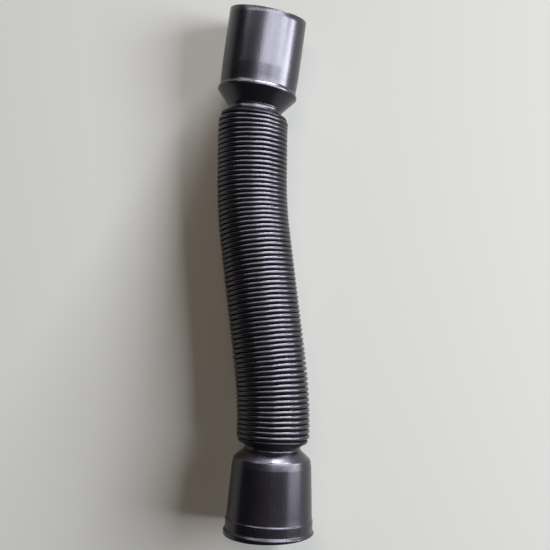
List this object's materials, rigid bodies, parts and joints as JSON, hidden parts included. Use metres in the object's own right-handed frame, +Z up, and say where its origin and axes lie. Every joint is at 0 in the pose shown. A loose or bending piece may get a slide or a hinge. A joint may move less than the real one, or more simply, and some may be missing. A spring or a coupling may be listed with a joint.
{
  "type": "ventilation duct",
  "caption": "Corrugated air duct of black plastic in a gentle S, with a plain cuff at one end and a flared cuff with a lip at the other.",
  "frame": {"origin": "centre of the underside of the duct's box, on the floor that it lies on", "axes": "+Z up, +Y along the duct towards the plain cuff, +X across it"},
  "size_m": [0.0808, 0.4428, 0.0736],
  "materials": {
    "black_plastic": "semi-gloss, as blown against the mould"
  },
  "bodies": {
    "root": {"duct": "black_plastic"}
  },
  "joints": []
}
